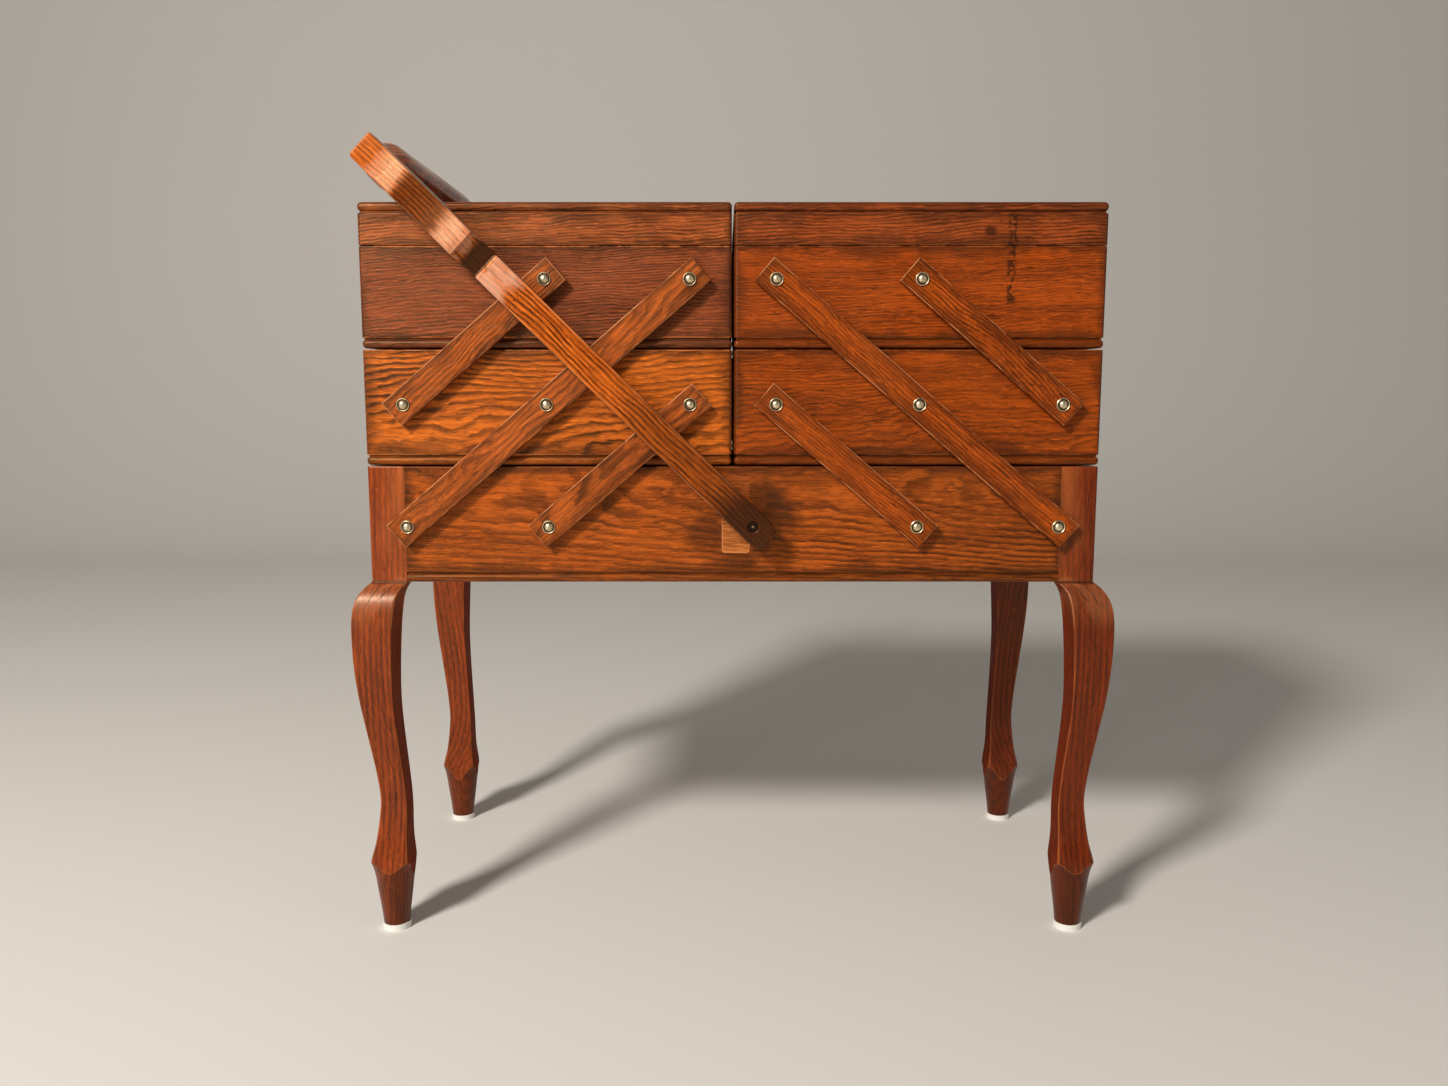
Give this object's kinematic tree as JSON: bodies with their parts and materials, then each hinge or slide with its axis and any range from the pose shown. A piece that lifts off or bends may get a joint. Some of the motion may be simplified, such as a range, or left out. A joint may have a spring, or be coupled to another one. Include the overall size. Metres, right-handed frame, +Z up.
{
  "type": "cantilever sewing box",
  "caption": "Wooden cantilever sewing box on cabriole legs: two stacked trays a side spread on slanted strips, hinged lids, a swinging carrying handle.",
  "frame": {"origin": "on the floor, under the middle of the box", "axes": "+X to the right trays, +Y to the rear, +Z up"},
  "size_m": [0.4716, 0.2652, 0.4941],
  "materials": {
    "case_oak": "satin varnished red-brown oak, horizontal grain",
    "left_mid_oak": "satin varnished lighter orange oak",
    "left_top_oak": "satin varnished red-brown oak",
    "right_mid_oak": "satin varnished red-brown oak",
    "right_top_oak": "satin varnished red-brown oak",
    "lid_oak": "satin varnished red-brown oak",
    "strip_oak": "satin varnished oak with worn light arrises",
    "leg_oak": "glossy dark red-brown oak",
    "handle_oak": "polished oak, dark at the pivot",
    "rivet_brass": "aged nickel-brass domes",
    "hinge_brass": "aged brass",
    "pin_steel": "dull steel",
    "glide_white": "white felt and plastic glide"
  },
  "bodies": {
    "base": {"case_bottom_board": "case_oak", "case_front_board": "case_oak", "case_rear_board": "case_oak", "case_left_end": "case_oak", "case_right_end": "case_oak", "leg_front_left": "leg_oak", "leg_front_right": "leg_oak", "leg_rear_left": "leg_oak", "leg_rear_right": "leg_oak", "foot_glides": "glide_white", "case_rivets": "rivet_brass", "handle_spacers": "pin_steel", "handle_pivot_pins": "pin_steel"},
    "left_long_strips": {"left_long_strip_front": "strip_oak", "left_long_strip_rear": "strip_oak"},
    "left_lower_strips": {"left_lower_strip_front": "strip_oak", "left_lower_strip_rear": "strip_oak"},
    "left_upper_strips": {"left_upper_strip_front": "strip_oak", "left_upper_strip_rear": "strip_oak"},
    "left_mid_tray": {"left_mid_tray_front": "left_mid_oak", "left_mid_tray_rear": "left_mid_oak", "left_mid_tray_ends": "left_mid_oak", "left_mid_tray_floor": "left_mid_oak", "left_mid_tray_rivets": "rivet_brass"},
    "left_top_tray": {"left_top_tray_front": "left_top_oak", "left_top_tray_rear": "left_top_oak", "left_top_tray_ends": "left_top_oak", "left_top_tray_floor": "left_top_oak", "left_top_tray_rivets": "rivet_brass", "left_hinge_tray_leaves": "hinge_brass", "left_hinge_pins": "hinge_brass"},
    "left_lid": {"left_lid_frame": "lid_oak", "left_lid_top": "lid_oak", "left_hinge_lid_leaves": "hinge_brass"},
    "right_long_strips": {"right_long_strip_front": "strip_oak", "right_long_strip_rear": "strip_oak"},
    "right_lower_strips": {"right_lower_strip_front": "strip_oak", "right_lower_strip_rear": "strip_oak"},
    "right_upper_strips": {"right_upper_strip_front": "strip_oak", "right_upper_strip_rear": "strip_oak"},
    "right_mid_tray": {"right_mid_tray_front": "right_mid_oak", "right_mid_tray_rear": "right_mid_oak", "right_mid_tray_ends": "right_mid_oak", "right_mid_tray_floor": "right_mid_oak", "right_mid_tray_rivets": "rivet_brass"},
    "right_top_tray": {"right_top_tray_front": "right_top_oak", "right_top_tray_rear": "right_top_oak", "right_top_tray_ends": "right_top_oak", "right_top_tray_floor": "right_top_oak", "right_top_tray_rivets": "rivet_brass", "right_hinge_tray_leaves": "hinge_brass", "right_hinge_pins": "hinge_brass"},
    "right_lid": {"right_lid_frame": "lid_oak", "right_lid_top": "lid_oak", "right_hinge_lid_leaves": "hinge_brass"},
    "handle": {"handle_front_arm": "handle_oak", "handle_rear_arm": "handle_oak", "handle_grip": "handle_oak"}
  },
  "joints": [
    {"name": "left_trays", "type": "hinge", "parent": "base", "child": "left_long_strips", "pos_m": [-0.1995, 0, 0.264], "axis": [0, -1, 0], "range_deg": [0, 98.76]},
    {"name": "left_mid_tray_level", "type": "hinge", "parent": "left_long_strips", "child": "left_mid_tray", "pos_m": [-0.11275, 0, 0.3384], "axis": [0, -1, 0], "range_deg": [-98.76, 0]},
    {"name": "left_top_tray_level", "type": "hinge", "parent": "left_long_strips", "child": "left_top_tray", "pos_m": [-0.026, 0, 0.4128], "axis": [0, -1, 0], "range_deg": [-98.76, 0]},
    {"name": "left_lower_strips_swing", "type": "hinge", "parent": "base", "child": "left_lower_strips", "pos_m": [-0.11275, 0, 0.264], "axis": [0, -1, 0], "range_deg": [0, 98.76]},
    {"name": "left_upper_strips_swing", "type": "hinge", "parent": "left_mid_tray", "child": "left_upper_strips", "pos_m": [-0.1995, 0, 0.3384], "axis": [0, -1, 0], "range_deg": [0, 98.76]},
    {"name": "left_lid_hinge", "type": "hinge", "parent": "left_top_tray", "child": "left_lid", "pos_m": [-0.227, 0, 0.43295], "axis": [0, -1, 0], "range_deg": [0, 19]},
    {"name": "right_trays", "type": "hinge", "parent": "base", "child": "right_long_strips", "pos_m": [0.1995, 0, 0.264], "axis": [0, 1, 0], "range_deg": [0, 98.76]},
    {"name": "right_mid_tray_level", "type": "hinge", "parent": "right_long_strips", "child": "right_mid_tray", "pos_m": [0.11275, 0, 0.3384], "axis": [0, 1, 0], "range_deg": [-98.76, 0]},
    {"name": "right_top_tray_level", "type": "hinge", "parent": "right_long_strips", "child": "right_top_tray", "pos_m": [0.026, 0, 0.4128], "axis": [0, 1, 0], "range_deg": [-98.76, 0]},
    {"name": "right_lower_strips_swing", "type": "hinge", "parent": "base", "child": "right_lower_strips", "pos_m": [0.11275, 0, 0.264], "axis": [0, 1, 0], "range_deg": [0, 98.76]},
    {"name": "right_upper_strips_swing", "type": "hinge", "parent": "right_mid_tray", "child": "right_upper_strips", "pos_m": [0.1995, 0, 0.3384], "axis": [0, 1, 0], "range_deg": [0, 98.76]},
    {"name": "right_lid_hinge", "type": "hinge", "parent": "right_top_tray", "child": "right_lid", "pos_m": [0.227, 0, 0.43295], "axis": [0, 1, 0], "range_deg": [0, 100]},
    {"name": "handle_swing", "type": "hinge", "parent": "base", "child": "handle", "pos_m": [0.012, 0, 0.2656], "axis": [0, 1, 0], "range_deg": [0, 91.25]}
  ],
  "couplings": [
    {"joint": "left_mid_tray_level", "follows": "left_trays", "ratio": -1},
    {"joint": "left_top_tray_level", "follows": "left_trays", "ratio": -1},
    {"joint": "left_lower_strips_swing", "follows": "left_trays", "ratio": 1},
    {"joint": "left_upper_strips_swing", "follows": "left_trays", "ratio": 1},
    {"joint": "right_mid_tray_level", "follows": "right_trays", "ratio": -1},
    {"joint": "right_top_tray_level", "follows": "right_trays", "ratio": -1},
    {"joint": "right_lower_strips_swing", "follows": "right_trays", "ratio": 1},
    {"joint": "right_upper_strips_swing", "follows": "right_trays", "ratio": 1},
    {"joint": "handle_swing", "follows": "left_trays", "ratio": 0.85}
  ]
}
